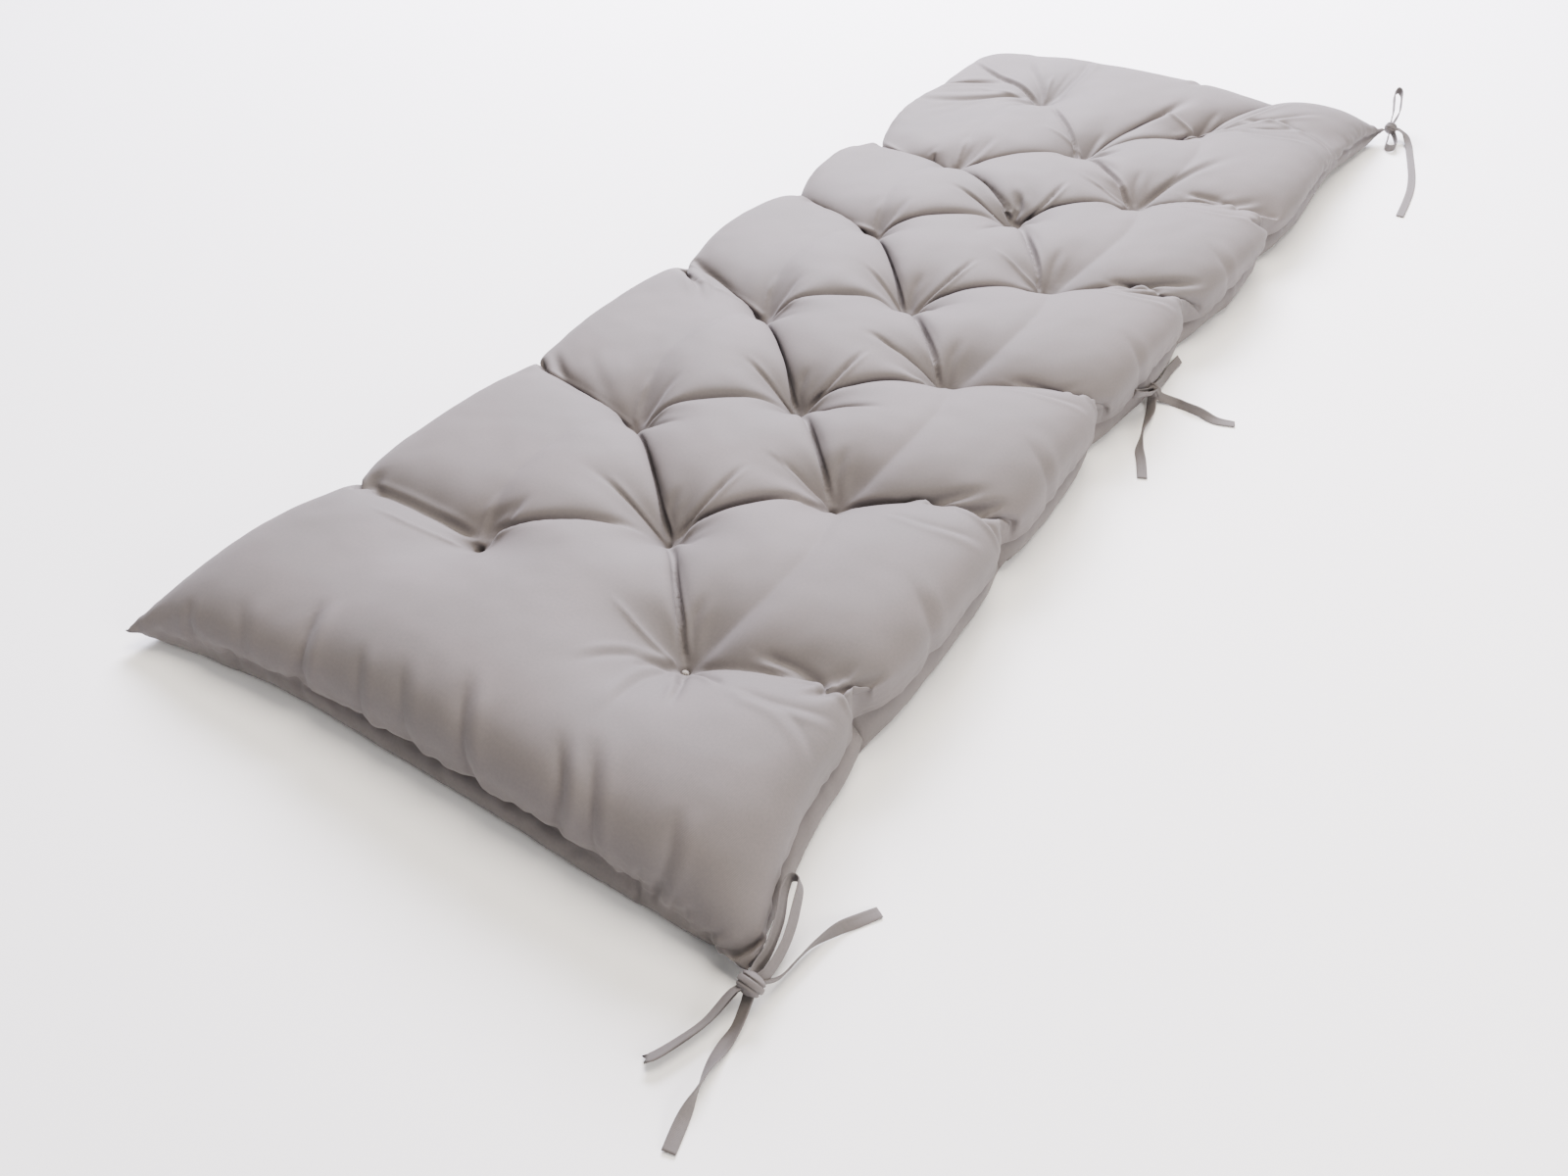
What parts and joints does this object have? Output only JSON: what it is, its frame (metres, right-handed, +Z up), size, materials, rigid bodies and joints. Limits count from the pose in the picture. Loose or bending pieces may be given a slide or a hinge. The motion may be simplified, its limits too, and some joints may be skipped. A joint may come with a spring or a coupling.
{
  "type": "bench cushion",
  "caption": "Long filled seat pad of two sewn cloth panels, drawn down by stitched tufts into soft domes, with tape ties knotted in bows along one side.",
  "frame": {"origin": "on the floor under the middle of the cushion's outline, ties left out", "axes": "+Y along the length, away from the end with the bow at the viewer's corner; +X towards the side with the ties; +Z up"},
  "size_m": [0.6847, 1.7049, 0.0917],
  "materials": {
    "cushion_cloth": "matt, light warm grey plain weave",
    "tie_tape": "matt grey stitched tape"
  },
  "bodies": {
    "root": {"cushion_body": "cushion_cloth", "near_knot": "tie_tape", "middle_knot": "tie_tape", "far_knot": "tie_tape", "near_loop_up": "tie_tape", "near_loop_low": "tie_tape", "near_end_right": "tie_tape", "near_end_down": "tie_tape", "middle_tail": "tie_tape", "middle_loop": "tie_tape", "middle_strip": "tie_tape", "middle_end_right": "tie_tape", "middle_end_down": "tie_tape", "far_loop_up": "tie_tape", "far_loop_low": "tie_tape", "far_end": "tie_tape"}
  },
  "joints": []
}
